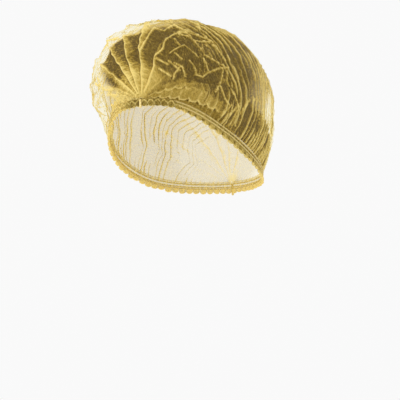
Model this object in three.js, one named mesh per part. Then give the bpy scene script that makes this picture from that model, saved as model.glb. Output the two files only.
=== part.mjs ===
// A disposable stretch hair cap, opened out as it is on a head. It is one rectangle of thin
// non-woven cloth, folded into an accordion of long pleats that run from a weld at the forehead
// to a weld at the nape. Two elastics along its edges gather it. Opened out, the pleats still
// stand in a fan round each weld, but over the head the gathers rule: they run from one side of
// the opening over the crest to the other, with a kink wherever they cross an old pleat, and
// below the elastics the cloth's edge stands in a scalloped frill.
// Sizes are in millimetres. The wearer faces -Y, +X is the wearer's left and +Z is up.
// The origin is the middle of the head opening.
import * as THREE from "three";

// Head opening, measured along the elastics
const RIM_LENGTH = 178; // forehead weld to nape weld, along Y
const RIM_BREADTH = 144; // over the ears, along X
const RIM_DROP = 68; // the nape's level below the forehead's
const RIM_LEAN = 5; // how much lower the wearer's right side sits than the left
const RIM_EGG = 0.03; // how much wider the front of the opening is than its back, as a share
const RIM_SKEW = 4; // how far the forehead weld sits to the wearer's left

// Crown
const CROWN_HEIGHT = 133; // crest above the elastics, half way back
const PUFF = 17; // how far the crown swells past the opening at each side
const WALL = 1; // thickness of each ply, as built
const PLEAT_PANELS = 24; // panels of the accordion, from one side of the opening to the other
const PLEAT_DEPTH = 3.6; // how far a fold stands out of, or sinks into, the crown's form
const PLEAT_SWAY = 1.3; // how far the gathers carry each fold from side to side
const CRIMPS = 34; // gathers on each side, from weld to weld
const RIB_DEPTH = 1.3; // how far a gather stands out of, or sinks into, the crown over the head
const KINK_SHIFT = 4; // how far a kink carries a gather forward or back, along the opening
const KINK_PANELS = 3; // panels of the accordion from one kink to the next

// Elastics, hem and frill
const ELASTIC_DIAMETER = 1.6;
const ELASTIC_PITCH = 3.2; // between the middles of the two elastics
const HEM_LAP = 1.4; // how far the hem reaches past the elastics everywhere
const HEM_RISE = 11; // how much higher its folded ply stands above the forehead
const HEM_LEAN = 0.14; // how far the folded ply leans in, for each millimetre it rises
const FRILL_DROP = 6.2; // from the lower elastic's edge to the frill's longest point
const FRILL_TUCK = 3.4; // how much of that is tucked up at the forehead
const SCALLOP = 1.4; // how much shorter the frill is at a notch
const RUFFLE = 0.9; // how far the frill's edge waves in and out
const CRIMP_DEPTH = 0.35; // how far the gathers stand in and out at the hem and the crown's foot

// Welds
const WELD_WIDTH = 2.4;
const WELD_DEPTH = 2;
const WELD_RISE = 0.1; // above the upper elastic, just short of the crown
const WELD_TAIL = 1.5; // below the frill
const WELD_CORNER = 0.8;

const GAP = 0.3; // clearance between pieces that touch on the real cap

// The elastics' level between the forehead, 0, and the nape, 1
const RIM_ROWS = [
  { along: 0, drop: 0 },
  { along: 0.05, drop: 0.05 },
  { along: 0.12, drop: 0.165 },
  { along: 0.2, drop: 0.3 },
  { along: 0.28, drop: 0.425 },
  { along: 0.5, drop: 0.705 },
  { along: 0.75, drop: 0.913 },
  { along: 1, drop: 1 },
];

// Arches of the crown, from the forehead weld, 0, to the nape weld, 1. rise is the crest's height
// above the elastics as a share of CROWN_HEIGHT, back its place behind the arch's feet as a share
// of RIM_LENGTH, swell_right and swell_left the share of PUFF that each side stands past the
// feet, pleat the share of PLEAT_DEPTH that its folds have, and rib the share of RIB_DEPTH and
// of KINK_SHIFT that its gathers have.
const CROWN_ROWS = [
  { along: 0, rise: 0, back: 0, swell_right: 0.05, swell_left: 0.05, pleat: 0.05, rib: 0 },
  { along: 0.06, rise: 0.235, back: -0.035, swell_right: 0.5, swell_left: 0.6, pleat: 0.6, rib: 0 },
  { along: 0.14, rise: 0.45, back: -0.062, swell_right: 0.75, swell_left: 0.85, pleat: 1, rib: 0.05 },
  { along: 0.25, rise: 0.665, back: -0.04, swell_right: 0.85, swell_left: 0.85, pleat: 0.9, rib: 0.3 },
  { along: 0.38, rise: 0.875, back: -0.02, swell_right: 0.85, swell_left: 0.8, pleat: 0.5, rib: 0.9 },
  { along: 0.5, rise: 0.985, back: 0, swell_right: 0.8, swell_left: 0.68, pleat: 0.3, rib: 1 },
  { along: 0.62, rise: 1.06, back: 0.025, swell_right: 0.72, swell_left: 0.58, pleat: 0.3, rib: 1 },
  { along: 0.75, rise: 0.97, back: 0.058, swell_right: 0.7, swell_left: 0.58, pleat: 0.4, rib: 1 },
  { along: 0.86, rise: 0.71, back: 0.095, swell_right: 0.7, swell_left: 0.64, pleat: 0.8, rib: 0.4 },
  { along: 0.94, rise: 0.36, back: 0.09, swell_right: 0.5, swell_left: 0.5, pleat: 0.6, rib: 0 },
  { along: 1, rise: 0, back: 0, swell_right: 0.05, swell_left: 0.05, pleat: 0.05, rib: 0 },
];

// Hollows, and swells where depth is negative, that the cloth has taken up. along is as above,
// across runs from the right foot, 0, over the crest to the left foot, 1, and depth is a share
// of PUFF.
const DENTS = [
  { along: 0.34, across: 0.72, long: 0.1, wide: 0.12, depth: 0.38 },
  { along: 0.47, across: 0.56, long: 0.09, wide: 0.1, depth: -0.14 },
  { along: 0.2, across: 0.4, long: 0.07, wide: 0.09, depth: -0.22 },
  { along: 0.3, across: 0.24, long: 0.08, wide: 0.09, depth: 0.16 },
  { along: 0.18, across: 0.12, long: 0.08, wide: 0.09, depth: -0.4 },
  { along: 0.38, across: 0.1, long: 0.15, wide: 0.08, depth: 0.4 },
  { along: 0.74, across: 0.87, long: 0.08, wide: 0.08, depth: -0.06 },
  { along: 0.6, across: 0.78, long: 0.1, wide: 0.08, depth: 0.06 },
  { along: 0.8, across: 0.3, long: 0.09, wide: 0.1, depth: 0.18 },
];

// A smooth curve through one column of a table.
function track(rows, column, along) {
  const last = rows.length - 1;
  let i = 0;
  while (i < last - 1 && along > rows[i + 1].along) i += 1;
  const slope = (k) => {
    const before = rows[Math.max(k - 1, 0)];
    const after = rows[Math.min(k + 1, last)];
    return (after[column] - before[column]) / (after.along - before.along);
  };
  const span = rows[i + 1].along - rows[i].along;
  const t = (along - rows[i].along) / span;
  const rest = 1 - t;
  return (
    rows[i][column] * rest * rest * (1 + 2 * t) +
    rows[i + 1][column] * t * t * (1 + 2 * rest) +
    span * t * rest * (slope(i) * rest - slope(i + 1) * t)
  );
}

// 0 below low, 1 above high, and smooth between.
const ease = (low, high, x) => THREE.MathUtils.smoothstep(x, low, high);

// A point of the rim, at an angle from the forehead towards the wearer's left.
function rimPoint(angle) {
  const along = (1 - Math.cos(angle)) / 2;
  const skew = RIM_SKEW * (1 - along) ** 2;
  const x = (RIM_BREADTH / 2) * Math.sin(angle) * (1 + RIM_EGG * Math.cos(angle)) + skew;
  return new THREE.Vector3(
    x,
    RIM_LENGTH * (along - 0.5),
    RIM_DROP * (0.5 - track(RIM_ROWS, "drop", along)) + (RIM_LEAN * x) / RIM_BREADTH,
  );
}

// The rim's own directions at an angle: out of the opening, level, and up along the cloth.
function rimAxes(angle) {
  const step = 1e-3;
  const tangent = rimPoint(angle + step).sub(rimPoint(angle - step)).normalize();
  const out = new THREE.Vector3(tangent.y, -tangent.x, 0).normalize();
  return { out, up: new THREE.Vector3().crossVectors(out, tangent).normalize() };
}

// The point a given way out of the rim and up from it.
function offRim(angle, out, up) {
  const axes = rimAxes(angle);
  return rimPoint(angle).addScaledVector(axes.out, out).addScaledVector(axes.up, up);
}

const elasticRadius = ELASTIC_DIAMETER / 2;
const elasticOut = GAP + elasticRadius; // the elastics lie on the hem's outer face, at 0
const bandTop = ELASTIC_PITCH / 2 + elasticRadius; // the two elastics reach this far up and down
const footUp = bandTop + GAP + WALL / 2;
const footOut = elasticOut + GAP;

// A point on one side of an arch: climb is 0 at the foot and 1 at the crest.
function archPoint(along, side, climb) {
  const foot = offRim(side * Math.PI * along, footOut, footUp);
  const other = offRim(-side * Math.PI * along, footOut, footUp);
  const middle = foot.clone().add(other).multiplyScalar(0.5);
  const half = Math.abs(foot.x - middle.x);
  const reach = half + PUFF * track(CROWN_ROWS, side > 0 ? "swell_left" : "swell_right", along);
  const low = Math.acos(half / reach);
  const turn = -low + climb * (Math.PI / 2 + low);
  const height = (Math.sin(turn) + Math.sin(low)) / (1 + Math.sin(low));
  const crestY = middle.y + RIM_LENGTH * track(CROWN_ROWS, "back", along);
  const crestZ = middle.z + CROWN_HEIGHT * track(CROWN_ROWS, "rise", along);
  return new THREE.Vector3(
    middle.x + side * reach * Math.cos(turn),
    foot.y + (crestY - foot.y) * height,
    foot.z + (crestZ - foot.z) * height,
  );
}

// One whole arch as evenly spaced points from the right foot to the left.
const ARCH_STEPS = 96;
function evenArch(along) {
  const half = ARCH_STEPS / 2;
  const points = [];
  for (let i = 0; i <= ARCH_STEPS; i += 1) {
    const climb = 1 - Math.abs(i - half) / half;
    points.push(archPoint(along, i < half ? -1 : 1, climb));
  }
  return new THREE.CatmullRomCurve3(points);
}

// Where the folds lie across an arch and how far each stands out. They are a little uneven, as
// hand-opened pleats are, and die away at the arch's feet.
const FOLDS = Array.from({ length: PLEAT_PANELS + 1 }, (_, k) => {
  const inner = k > 0 && k < PLEAT_PANELS;
  const side = k % 2 ? 1 : -1;
  return {
    across: (k + (inner ? 0.22 * Math.sin(2.4 * k) : 0)) / PLEAT_PANELS,
    stand: inner ? side * (0.85 + 0.3 * Math.sin(1.7 * k + 0.6)) : 0,
  };
});
const SOFT_FEET = 0.09; // the share of an arch over which the folds die away

function dentDepth(along, across) {
  const one = (d) =>
    d.depth * Math.exp(-(((along - d.along) / d.long) ** 2) - ((across - d.across) / d.wide) ** 2);
  return PUFF * DENTS.reduce((sum, d) => sum + one(d), 0);
}

// How far back a kink carries a gather where it crosses fold k: 1 and -1 at kinks by turns.
const kinkAt = (k) => 2 * Math.abs(((k / KINK_PANELS) % 2) - 1) - 1;

// The crown's outer and inner faces as grids: rows are ridges and hollows of the gathers by
// turns, and columns are folds.
const FIRST_ARCH = 0.003; // the arches stop this share short of each weld
function crownGrids() {
  const rows = 2 * CRIMPS;
  const spots = [];
  for (let j = 0; j <= rows; j += 1) {
    const wave = j % 2 ? 1 : -1;
    const along = FIRST_ARCH + ((1 - 2 * FIRST_ARCH) * j) / rows;
    const pleat = track(CROWN_ROWS, "pleat", along);
    const rib = track(CROWN_ROWS, "rib", along);
    spots.push(
      FOLDS.map(({ across, stand }, k) => {
        const loose = ease(0, SOFT_FEET, Math.min(across, 1 - across));
        const shifted = along + (kinkAt(k) * KINK_SHIFT * rib * loose) / RIM_LENGTH;
        const curve = evenArch(shifted);
        const sway = (wave * PLEAT_SWAY * loose * pleat) / curve.getLength();
        const gather = CRIMP_DEPTH * ease(0, 0.05, Math.min(along, 1 - along)) + RIB_DEPTH * rib * loose;
        const fold = PLEAT_DEPTH * stand * pleat * loose;
        return {
          place: curve.getPointAt(across + sway),
          height: fold + gather * wave - dentDepth(shifted, across) * loose,
        };
      }),
    );
  }
  const at = (j, k) => {
    const row = THREE.MathUtils.clamp(j, 0, rows);
    return spots[row][THREE.MathUtils.clamp(k, 0, PLEAT_PANELS)].place;
  };
  const face = (offset) =>
    spots.map((row, j) =>
      row.map(({ place, height }, k) => {
        const lengthwise = at(j + 2, k).clone().sub(at(j - 2, k));
        const crosswise = at(j, k + 1).clone().sub(at(j, k - 1));
        const out = new THREE.Vector3().crossVectors(crosswise, lengthwise).normalize();
        return place.clone().addScaledVector(out, height + offset);
      }),
    );
  return { outer: face(WALL / 2), inner: face(-WALL / 2) };
}

// A closed solid from a list of vertices and a list of quads, each as four vertex numbers.
function solidFrom(points, quads) {
  const index = quads.flatMap(([a, b, c, d]) => [a, b, c, a, c, d]);
  return new THREE.BufferGeometry().setFromPoints(points).setIndex(index);
}

// The wall between two grids of the same size, closed round its four edges.
function wallBetween(outer, inner) {
  const rows = outer.length;
  const columns = outer[0].length;
  const points = [...outer.flat(), ...inner.flat()];
  const o = (j, k) => j * columns + k;
  const i = (j, k) => rows * columns + j * columns + k;
  const quads = [];
  for (let j = 0; j < rows - 1; j += 1) {
    for (let k = 0; k < columns - 1; k += 1) {
      quads.push([o(j, k), o(j, k + 1), o(j + 1, k + 1), o(j + 1, k)]);
      quads.push([i(j, k), i(j + 1, k), i(j + 1, k + 1), i(j, k + 1)]);
    }
    const end = columns - 1;
    quads.push([o(j, 0), o(j + 1, 0), i(j + 1, 0), i(j, 0)]);
    quads.push([o(j, end), i(j, end), i(j + 1, end), o(j + 1, end)]);
  }
  for (let k = 0; k < columns - 1; k += 1) {
    const end = rows - 1;
    quads.push([o(0, k), i(0, k), i(0, k + 1), o(0, k + 1)]);
    quads.push([o(end, k), o(end, k + 1), i(end, k + 1), i(end, k)]);
  }
  return solidFrom(points, quads);
}

// A closed ring round the head opening. section gives its points at an angle, as [out, up] pairs
// in one order all round, counter-clockwise seen along the rim's tangent.
function ringSolid(steps, section) {
  const points = [];
  const quads = [];
  let sides = 0;
  for (let j = 0; j < steps; j += 1) {
    const angle = (2 * Math.PI * j) / steps;
    const ring = section(angle, j).map(([out, up]) => offRim(angle, out, up));
    sides = ring.length;
    points.push(...ring);
  }
  for (let j = 0; j < steps; j += 1) {
    const next = (j + 1) % steps;
    for (let k = 0; k < sides; k += 1) {
      const over = (k + 1) % sides;
      quads.push([j * sides + k, next * sides + k, next * sides + over, j * sides + over]);
    }
  }
  return solidFrom(points, quads);
}

const EDGE_STEPS = 4 * CRIMPS; // a ridge and a hollow for every crimp of both sides

// How far an angle lies from the forehead, in degrees.
const degreesOff = (angle) => THREE.MathUtils.radToDeg(Math.abs(Math.atan2(Math.sin(angle), Math.cos(angle))));

// 1 where the folded ply of the hem stands at its full height, beside the forehead, and 0 behind.
function hemShare(angle) {
  return ease(5, 14, degreesOff(angle)) * (1 - ease(44, 74, degreesOff(angle)));
}

// How far the frill reaches below the lower elastic.
const frillDrop = (angle) => FRILL_DROP - FRILL_TUCK * (1 - ease(10, 75, degreesOff(angle)));

function hemBand() {
  return ringSolid(EDGE_STEPS, (angle, j) => {
    const wave = j % 2 ? 1 : -1;
    const share = hemShare(angle);
    const rise = HEM_RISE * share;
    const top = bandTop + HEM_LAP + rise + SCALLOP * share * (wave - 1) / 2;
    const foot = -bandTop - HEM_LAP;
    const topOut = -HEM_LEAN * rise + (wave - 1) * CRIMP_DEPTH * share;
    return [
      [0, foot],
      [topOut, top],
      [topOut - WALL, top],
      [-WALL, foot],
    ];
  });
}

function edgeFrill() {
  return ringSolid(EDGE_STEPS, (angle, j) => {
    const wave = j % 2 ? 1 : -1;
    const top = -bandTop - GAP;
    const tip = -bandTop - frillDrop(angle) + (SCALLOP * (1 - wave)) / 2;
    const tipOut = GAP + WALL + (RUFFLE * wave * frillDrop(angle)) / FRILL_DROP;
    return [
      [GAP, top],
      [tipOut - WALL / 2, tip],
      [tipOut + WALL / 2, tip],
      [GAP + WALL, top],
    ];
  });
}

const ELASTIC_SIDES = 5;
function elastic(level) {
  return ringSolid(2 * CRIMPS, () =>
    Array.from({ length: ELASTIC_SIDES }, (_, k) => {
      const turn = (2 * Math.PI * k) / ELASTIC_SIDES;
      return [elasticOut + elasticRadius * Math.cos(turn), level + elasticRadius * Math.sin(turn)];
    }),
  );
}

// The welded end of the folded cloth: a small upright tab in front of the elastics.
function weld(angle) {
  const low = -bandTop - frillDrop(angle) - WELD_TAIL;
  const high = bandTop + WELD_RISE;
  const half = WELD_WIDTH / 2;
  const outline = new THREE.Shape();
  outline.moveTo(-half, low + WELD_CORNER);
  outline.absarc(-half + WELD_CORNER, low + WELD_CORNER, WELD_CORNER, Math.PI, 1.5 * Math.PI);
  outline.absarc(half - WELD_CORNER, low + WELD_CORNER, WELD_CORNER, 1.5 * Math.PI, 2 * Math.PI);
  outline.absarc(half - WELD_CORNER, high - WELD_CORNER, WELD_CORNER, 0, Math.PI / 2);
  outline.absarc(-half + WELD_CORNER, high - WELD_CORNER, WELD_CORNER, Math.PI / 2, Math.PI);
  outline.closePath();
  const tab = new THREE.ExtrudeGeometry(outline, {
    depth: WELD_DEPTH,
    bevelEnabled: false,
    curveSegments: 3,
  });
  const axes = rimAxes(angle);
  const tangent = new THREE.Vector3().crossVectors(axes.up, axes.out);
  const clear = GAP + Math.max(elasticOut + elasticRadius, footOut + WALL / 2);
  const place = new THREE.Matrix4().makeBasis(tangent, axes.up, axes.out);
  place.setPosition(offRim(angle, clear, 0));
  return tab.applyMatrix4(place);
}

const CLOTH = { color: 0xbfa34a, roughness: 0.85, metalness: 0 };
const CORD = { color: 0xe0cb82, roughness: 0.7, metalness: 0 };
const FUSED = { color: 0xd8c070, roughness: 0.5, metalness: 0 };

const cap = new THREE.Group();
function add(name, geometry, look) {
  const piece = new THREE.Mesh(geometry, new THREE.MeshStandardMaterial(look));
  piece.name = name;
  cap.add(piece);
}

const { outer, inner } = crownGrids();
add("crown", wallBetween(outer, inner), CLOTH);
add("hem_band", hemBand(), CLOTH);
add("edge_frill", edgeFrill(), CLOTH);
add("elastic_upper", elastic(ELASTIC_PITCH / 2), CORD);
add("elastic_lower", elastic(-ELASTIC_PITCH / 2), CORD);
add("front_weld", weld(0), FUSED);
add("rear_weld", weld(Math.PI), FUSED);

export default cap;
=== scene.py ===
# A disposable stretch hair cap, dressed over its CAD frame and set on a pale stage.
# Lengths are in millimetres until a mesh is made. The wearer faces -Y, +X is the wearer's left.
# "Along" runs from the weld at the forehead, 0, to the weld at the nape, 1, and "across" over an
# arch of the crown, from its foot at the wearer's right, 0, to its foot at the left, 1.
# "Plies" says how closely the cloth lies: near 0 where it is one flat ply, 1 on a standing fold.
# It also carries painted shade: it is lower, and the cloth darker and more sheer, in the hollows between
# folds, in the valleys beside the fan's ridges and in the frill's notches.
import math
from math import pi
from types import SimpleNamespace

import bpy
import numpy as np
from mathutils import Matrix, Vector


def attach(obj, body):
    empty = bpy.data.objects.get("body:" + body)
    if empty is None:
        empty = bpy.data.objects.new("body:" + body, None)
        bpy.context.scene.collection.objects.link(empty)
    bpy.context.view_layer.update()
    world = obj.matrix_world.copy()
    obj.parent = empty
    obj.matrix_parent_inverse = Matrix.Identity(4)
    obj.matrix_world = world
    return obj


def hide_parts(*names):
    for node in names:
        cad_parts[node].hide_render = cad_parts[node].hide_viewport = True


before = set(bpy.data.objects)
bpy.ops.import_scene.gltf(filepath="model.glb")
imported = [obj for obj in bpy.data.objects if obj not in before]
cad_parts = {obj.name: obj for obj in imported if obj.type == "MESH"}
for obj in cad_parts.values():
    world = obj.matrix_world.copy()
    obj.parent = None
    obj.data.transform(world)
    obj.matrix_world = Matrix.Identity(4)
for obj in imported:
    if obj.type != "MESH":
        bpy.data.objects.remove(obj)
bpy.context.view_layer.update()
MM = 0.001

# Head opening, measured along the elastics, as the frame has it
RIM_LENGTH = 178
RIM_BREADTH = 144
RIM_DROP = 68
RIM_LEAN = 5
RIM_EGG = 0.03
RIM_SKEW = 4

# Crown
CROWN_HEIGHT = 133
PUFF = 17
FOOT_OUT = 1.4  # the crown's foot, out of the elastics' line and up from it
FOOT_UP = 2.7
FOOT_SMOOTH = 24  # relief grows over this length from an arch's foot
CRIMPS = 34  # gathers of the hem on each side, from weld to weld
FOLDS = 56  # thin folds over the crest, from one side of the opening to the other
PANEL_ROWS = 3  # the mesh's rows between two folds, which have three each
CROWN_COLUMNS = 290
CROWN_STATIONS = 300  # arches of the smooth form
ARCH_STEPS = 192
FIRST_ARCH = 0.002
LONG_ARCH = 370  # the longest arch, from foot to foot
FULL_ARCH = 300  # crumples have their full size on an arch of this length
DENT_FADE = 0.09  # dents fade over this share of an arch at its feet

# Elastics, hem and frill
ELASTIC_RADIUS = 0.72
ELASTIC_PITCH = 3.2
ELASTIC_OUT = 1.1
ELASTIC_DRIFT = 0.18
BAND_TOP = 2.4  # how far both elastics reach up and down from their middle
HEM_LAP = 1.4
HEM_RISE = 11
HEM_DIP = 2.4  # how far the folded hem's edge dips between two lobes
HEM_LEAN = 0.14
HEM_IN = 0.3
HEM_GATHER = 0.55
FRILL_DROP = 6.2
FRILL_TUCK = 3.4
FRILL_GAP = 0.3
FRILL_OUT = 1.0
FRILL_PINCH = 0.5
SCALLOP = 2.5
RUFFLE = 1.5
LOBE_COLUMNS = 14  # the mesh's steps round one lobe, and its rows
HEM_ROWS_UP = 17
FRILL_ROWS = 25
CORD_COLUMNS = 10
CORD_SIDES = 12
CLOTH_ROUND = 520 / (2 * pi)  # length of the cloth's pattern by angle

# In degrees from the forehead: where the frill grows to its full drop, where its cells no longer
# stand up before the elastics, where the folded hem stands, and where both look sheer
FRILL_GROWS = (10, 75)
CELLS_END = (24, 33)
HEM_STANDS = (5, 14, 44, 74)
RIGHT_SHEER = (8, 25)
REAR_SHEER = (95, 130)
RIM_SHEER = 0.55

# Fused tabs at the two ends
TAB_ROWS = 49
TAB_SIDES = 24
TAB_HALF_WIDE = 1.1
TAB_HALF_THICK = 0.8
TAB_OUT = 3.2
TAB_BELOW = 1.3  # how far a tab reaches below the frill
TAB_SHORT = 0.4  # how far it ends below the elastics' top
TAB_RIBS = 9
TAB_RIB = 0.14
TAB_END = 0.06  # the share of its length over which it thins out
TAB_SQUARE = 0.45  # 1 would make it round, 0 square

# The elastics' level between the forehead, 0, and the nape, 1
RIM_ROWS = {
    "along": (0, 0.05, 0.12, 0.2, 0.28, 0.5, 0.75, 1),
    "drop": (0, 0.05, 0.165, 0.3, 0.425, 0.705, 0.913, 1),
}

# Arches of the crown, as the frame has them
CROWN_ROWS = {
    "along": (0, 0.06, 0.14, 0.25, 0.38, 0.5, 0.62, 0.75, 0.86, 0.94, 1),
    "rise": (0, 0.235, 0.45, 0.665, 0.875, 0.985, 1.06, 0.97, 0.71, 0.36, 0),
    "back": (0, -0.035, -0.062, -0.04, -0.02, 0, 0.025, 0.058, 0.095, 0.09, 0),
    "swell_right": (0.05, 0.5, 0.75, 0.85, 0.85, 0.8, 0.72, 0.7, 0.7, 0.5, 0.05),
    "swell_left": (0.05, 0.6, 0.85, 0.85, 0.8, 0.68, 0.58, 0.58, 0.64, 0.5, 0.05),
}

# Hollows and swells: along, across, long, wide, and depth as a share of PUFF
DENTS = (
    (0.34, 0.72, 0.1, 0.12, 0.38),
    (0.47, 0.56, 0.09, 0.1, -0.14),
    (0.2, 0.4, 0.07, 0.09, -0.22),
    (0.3, 0.24, 0.08, 0.09, 0.16),
    (0.18, 0.12, 0.08, 0.09, -0.4),
    (0.38, 0.1, 0.15, 0.08, 0.4),
    (0.74, 0.87, 0.08, 0.08, -0.06),
    (0.6, 0.78, 0.1, 0.08, 0.06),
    (0.7, 0.76, 0.09, 0.07, -0.22),
    (0.8, 0.3, 0.09, 0.1, 0.18),
    (0.22, 0.28, 0.07, 0.1, -0.25),
    (0.225, 0.36, 0.06, 0.06, -0.16),
    (0.27, 0.49, 0.09, 0.07, -0.23),
    (0.2, 0.17, 0.06, 0.06, -0.16),
    (0.25, 0.075, 0.08, 0.05, -0.38),
)

# The ridges that fan out from each weld: their places across an arch near the weld, a quarter
# and half of the way to the other weld, how far they stand and how much they waver
FAN = (
    (0.07, 0.08, 0.09, 1.6, 1),
    (0.135, 0.15, 0.15, 2.4, 1),
    (0.215, 0.25, 0.24, 4.0, 1),
    (0.305, 0.33, 0.32, 4.4, 1),
    (0.385, 0.425, 0.4, 4.2, 1),
    (0.515, 0.5, 0.485, 4.6, 1.3),
    (0.64, 0.625, 0.61, 1.6, 1.6),
    (0.78, 0.75, 0.73, 0.7, 1),
    (0.9, 0.89, 0.89, 1.2, 1),
)
FAN_STATIONS = (0, 0.06, 0.24, 0.5)
FRONT_FAN = ((0.22, 0.38), 1.0)  # where along the ridges die out, and how strong they are
REAR_FAN = ((0.14, 0.3), 0.6)
FAN_TURNS = 3  # so many ridges slope off gently to the wearer's right, the others to the left
FAN_LONG = 150  # ridges have their full size on an arch of this length
FAN_SINK = 1.4
FAN_ACROSS = (0.06, 0.16, 0.74, 0.88)
FAN_STAND = 4.0  # a ridge that stands as far as this has its full tone
RIDGE_GENTLE = 5.5  # how far a ridge slopes off on both sides
RIDGE_STEEP = 1.1
RIDGE_CRIMP = 0.6
RIDGE_PLIES = 0.62  # on a ridge, on its gentle side, and painted shade in the valley at its steep side
SLOPE_PLIES = 0.46
VALLEY_SHADE = -0.22
VALLEY_AWAY = 2.2
VALLEY_HALF = 1.4
FAN_PALER = 0.62  # its cloth is paler near the weld, and further off a little darker
FAN_DARKER = -0.1
FAN_PALE_ARCH = (85, 145)

FOLD_STAND = 1.4  # how far the folds that run from rim to rim stand out
FOLD_LEAN = 1.0  # how far each leans over on the cloth beside it
FOLD_ROOT = 0.25  # half the width of a fold where it leaves the cloth
PANEL_SAG = (0.3, 0.05)  # how far the cloth sags between two folds: a part, and one by its width
PANEL_WIDEST = 20
FOLD_PLIES = (0.35, 1.15, 0.35)  # on the three rows of a fold: its foot, its top, its foot
# Painted shade: the cloth is darker where it sags between two folds
SAG_SHADE = -0.14
FANNED_PLIES = -0.09
BRANCH_CHANCE = 0.35
BRANCH_RUN = 15  # how far a short crease runs along the folds that it joins
BRANCH_STRAY = 9
BRANCH_HALF = 0.9
BRANCH_RISE = 0.6
BRANCH_PLIES = 0.7

# Where every such fold has a kink, and how far it is carried back there
KINKS = {
    "across": (0, 0.09, 0.19, 0.31, 0.42, 0.5, 0.58, 0.69, 0.81, 0.91, 1),
    "shift": (0, 10, -4, 4, -5, 2, -4, 4, -5, 10, 0),
}
KINK_RISE = 1.1
KINK_REACH = 7

# How the folds spread over the crest: the share by which each is carried back there
SPREAD = {
    "along": (0, 0.25, 0.37, 0.42, 0.5, 0.62, 0.8, 1),
    "shift": (0, -0.03, -0.045, 0.0, 0.03, 0.03, 0.01, 0),
}

# The folds give way to the fans between these two places from a weld, at the wearer's right a
# little later in front, and are fainter on the wearer's left beside the forehead
FANNED = (0.12, 0.29)
LATER = 0.07
LATER_ACROSS = (0.56, 0.64)
FAINT = 0.65
FAINT_ACROSS = (0.5, 0.58, 0.88, 0.93)
FAINT_ALONG = (0.3, 0.37)

# How lines waver: how far, how long a bend is, how unlike the next line is, and the seed
FOLD_KNOTS = (0.016, 1 / 3.3, 0.45, 5)
FOLD_SHIFTS = (0.5, 1 / 2.1, 0.35, 17)
FOLD_DRIFT = (1.6, 50, 0.45, 11)
FOLD_WANDER = (0.9, 11, 7.3, 23)
FOLD_TREMBLE = (0.5, 5, 3.9, 25)
FOLD_FADING = (1, 31, 4.7, 31)
FOLD_SWING = (1, 36, 5.3, 47)
FOLD_STANDING = (0.3, 19, 2.3, 37)
RIDGE_WANDER = (1.7, 1 / 16, 3.7, 43)
RIDGE_TREMBLE = (0.7, 1 / 47, 2.3, 45)
RIDGE_ROUGH = (0.25, 1 / 30, 5.1, 53)
KINK_WAVER = (3, 1 / 11, 4.1, 59)

# Patches on the cloth: how much, how long and how wide they are, and the seed
CRUMPLES = ((1, (1, 19, 16, 97)), (0.6, (1, 10, 11, 101)))
CRUMPLE_RISE = 0.9
CRUMPLE_SINK = 0.5
CRUMPLE_PLIES = 0.16
UNEVEN_RISE = (1.1, 37, 41, 103)
UNEVEN_PLIES = (0.1, 30, 26, 107)
REAR_BANDS = (1, 7, 60, 149)
REAR_BAND_PLIES = 0.24
GATHER_STRAY = (2, 23, 9, 109)
GATHER_PITCH = 3.7
GATHER_RISE = 0.35
RIGHT_STRAY = (0.012, 9, 9, 117)
REAR_STRAY = (0.03, 25, 25, 113)
HOLES = (1, 10, 13, 121)

# Two sets of slanting lines, one each way: the way, the pitch, how they stray and where they show
LATTICE = (
    (1, 15, (0.5, 31, 27, 61), (1, 13, 13, 67)),
    (-1, 15, (0.5, 31, 27, 62), (1, 13, 13, 68)),
)
THREADS = (
    (1, 9, (0.6, 25, 23, 131), (1, 14, 14, 137)),
    (-1, 13, (0.6, 25, 23, 132), (1, 14, 14, 138)),
)
SLANT = 0.8
LATTICE_ALONG = (0.25, 0.1)  # its middle, from either weld, and half its width
LATTICE_RISE = 0.8
LATTICE_PLIES = 0.9
LATTICE_DARKER = 0.16
THREAD_RISE = 0.7
THREAD_PLIES = 0.8

# How lobes differ from one to the next: how much, two numbers that pick the noise, and its seed
HEM_TALL = (0.12, 4.3, 6.5, 19)
FRILL_TALL = (0.14, 5.1, 0.5, 7)
FRILL_SKEW = (0.16, 3.7, 2.5, 13)
FRILL_TONE = (0.1, 2.7, 0, 41)

# The turned hem shows through the crown as two rows of round lobes: the lower and upper edge of
# each row above the crown's foot, by how far back they lie, and how strongly they show
HEM_LOBES = 28  # on each side, from weld to weld
LOBE_PITCH = 9.6
LOBE_ROUND = 3.2  # how far a lobe's lowest point lies below its corners
LOBES_ALONG = (0, 0.03, 0.095, 0.17, 0.22, 0.27, 0.31, 0.35, 1)
STRIP_PLIES = 0.34  # the even strip of cloth below the lower row
HEM_ROWS = {
    "along": LOBES_ALONG,
    "low": (0, 0, 0.8, 3, 4.6, 7, 9, 10, 10),
    "high": (0, 6, 13, 17, 18.5, 20, 20.5, 20, 20),
    "seen": (0, 0.6, 1, 1, 1, 0.9, 0.5, 0, 0),
    "strong": 1.0,
    "seed": 83,
}
TURN_ROWS = {
    "along": LOBES_ALONG,
    "low": (0, 5.5, 12, 16, 18, 20, 21, 21, 21),
    "high": (0, 13, 21, 26, 27, 27, 27, 27, 27),
    "seen": (0, 0.7, 0.8, 0.7, 0.35, 0, 0, 0, 0),
    "strong": 0.85,
    "seed": 183,
}

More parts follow.
